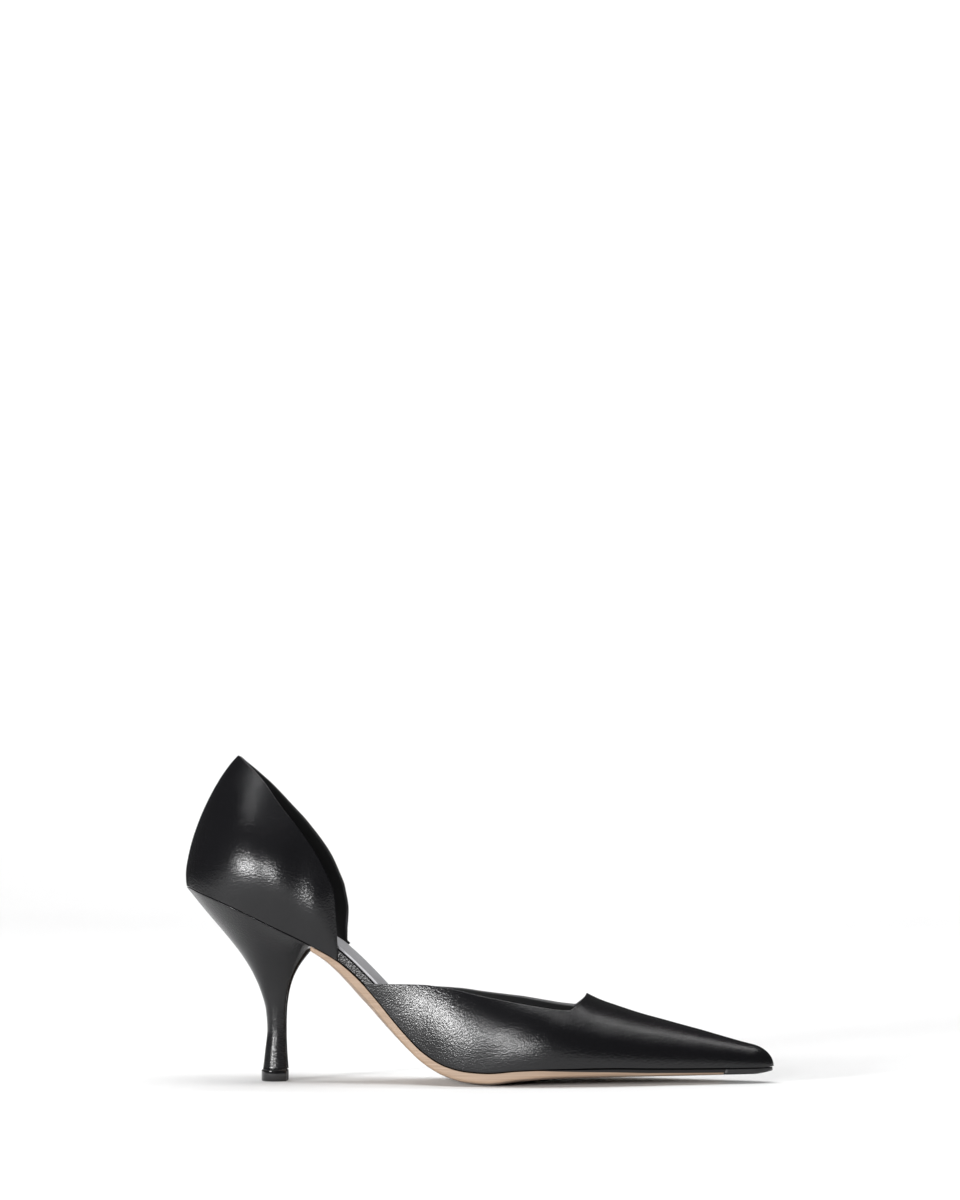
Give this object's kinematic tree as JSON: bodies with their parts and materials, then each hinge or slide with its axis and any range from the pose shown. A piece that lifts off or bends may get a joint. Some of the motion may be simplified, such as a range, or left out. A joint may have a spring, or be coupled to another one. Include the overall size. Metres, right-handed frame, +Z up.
{
  "type": "pump",
  "caption": "women's d'Orsay pump in black leather with a pointed toe, cut-away sides and a tall curved stiletto heel, for the right foot",
  "frame": {"origin": "on the floor, under the middle of the heel's top piece", "axes": "+X runs along the shoe to the toe, +Y to the inner side of the foot, +Z up from the floor"},
  "size_m": [0.2555, 0.0736, 0.1415],
  "materials": {
    "upper_leather": "smooth black calf with a fine grain and a soft sheen",
    "lining_leather": "matt grey lining leather",
    "sole_leather": "natural tan sole leather, its edge black towards the toe",
    "sole_rubber": "matt black rubber",
    "top_piece_plastic": "glossy black"
  },
  "bodies": {
    "root": {"upper_vamp": "upper_leather", "upper_quarter": "upper_leather", "insole": "upper_leather", "sock_lining": "lining_leather", "outsole": "sole_leather", "toe_piece": "sole_rubber", "heel": "upper_leather", "top_piece": "top_piece_plastic"}
  },
  "joints": []
}
